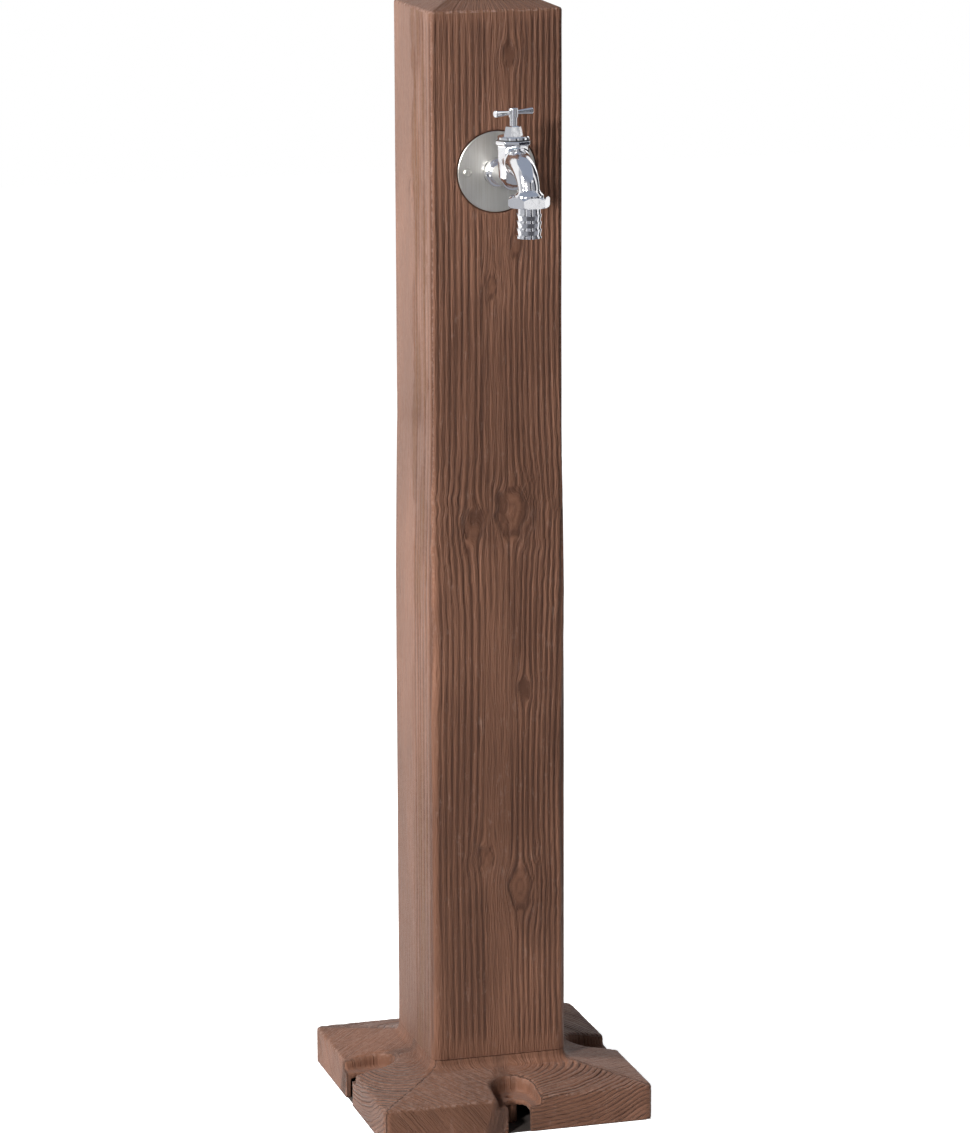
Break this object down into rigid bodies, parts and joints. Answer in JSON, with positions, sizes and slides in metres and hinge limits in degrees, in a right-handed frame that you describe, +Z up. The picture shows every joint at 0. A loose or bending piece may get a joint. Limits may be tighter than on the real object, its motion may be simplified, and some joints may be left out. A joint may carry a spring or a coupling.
{
  "type": "garden standpipe",
  "caption": "Free-standing garden tap post: square wood-look column on a slotted base, with a hose bib tap on a round steel plate and a riser pipe inside.",
  "frame": {"origin": "on the column's axis at ground level, centre of the ground screws' circle", "axes": "+Z up along the column, -Y towards the tap's side, +X to the right seen from the tap's side"},
  "size_m": [0.246, 0.2917, 1],
  "materials": {
    "post_plastic": "matt brown moulding with wood grain",
    "stainless_plate": "brushed stainless",
    "chrome": "polished chrome plate",
    "brass": "machined brass",
    "zinc_steel": "zinc plated",
    "black_rubber": "matt",
    "pipe_plastic": "satin black polyethylene"
  },
  "bodies": {
    "root": {"post": "post_plastic", "tap_plate": "stainless_plate", "plate_screws": "stainless_plate", "plate_nuts": "zinc_steel", "wall_elbow": "brass", "elbow_gasket": "black_rubber", "elbow_nut": "brass", "elbow_olive": "brass", "riser_pipe": "pipe_plastic", "riser_spacers": "pipe_plastic", "foot_nut": "brass", "foot_olive": "brass", "foot_connector": "brass", "inlet_washer": "black_rubber", "tap_body": "chrome", "headwork_gasket": "black_rubber", "headwork": "chrome", "gland_packing": "black_rubber", "gland_nut": "chrome"},
    "valve": {"valve_jumper": "brass", "seat_washer": "black_rubber", "washer_nut": "brass"},
    "handle": {"spindle": "chrome", "tee_handle": "chrome", "handle_screw": "chrome"},
    "tail": {"union_gasket": "black_rubber", "hose_tail": "chrome"},
    "nut": {"union_nut": "chrome"}
  },
  "joints": [
    {"name": "valve_lift", "type": "slide", "parent": "root", "child": "valve", "axis": [0, 0, 1], "range_m": [0, 0.0045]},
    {"name": "handle_turn", "type": "hinge", "parent": "valve", "child": "handle", "pos_m": [0, -0.108, 0.898], "axis": [0, 0, 1], "range_deg": [0, 720]},
    {"name": "tail_drop", "type": "slide", "parent": "root", "child": "tail", "axis": [0, 0, -1], "range_m": [0, 0.00399]},
    {"name": "union_turn", "type": "hinge", "parent": "tail", "child": "nut", "pos_m": [0, -0.153, 0.825], "axis": [0, 0, -1], "range_deg": [0, 792]}
  ],
  "couplings": [
    {"joint": "handle_turn", "follows": "valve_lift", "rad_per_m": 2790},
    {"joint": "union_turn", "follows": "tail_drop", "rad_per_m": 3461}
  ]
}
